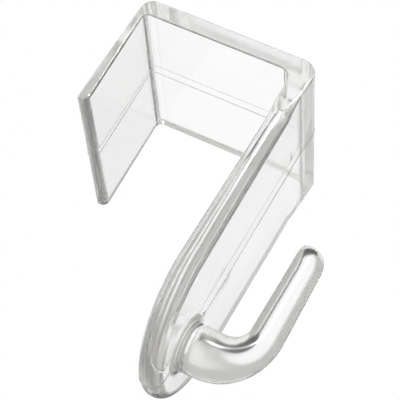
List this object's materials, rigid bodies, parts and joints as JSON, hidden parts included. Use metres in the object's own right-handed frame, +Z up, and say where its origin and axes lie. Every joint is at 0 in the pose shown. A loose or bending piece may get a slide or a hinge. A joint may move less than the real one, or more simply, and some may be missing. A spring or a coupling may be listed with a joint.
{
  "type": "curtain hook",
  "caption": "One-piece clear moulded over-rail hook: a square U-shaped saddle, a long tongue with a round end, and an upturned round hook springing from the tongue's outer face",
  "frame": {"origin": "middle of the flat ceiling of the saddle's channel, the face that sits on the rail", "axes": "+Z is up as the hook hangs, -Y is the side with the tongue and the hook, X runs along the rail; the part is symmetric about X = 0"},
  "size_m": [0.0302, 0.0426, 0.0523],
  "materials": {
    "clear_plastic": "clear, polished by the mould"
  },
  "bodies": {
    "root": {"hook": "clear_plastic"}
  },
  "joints": []
}
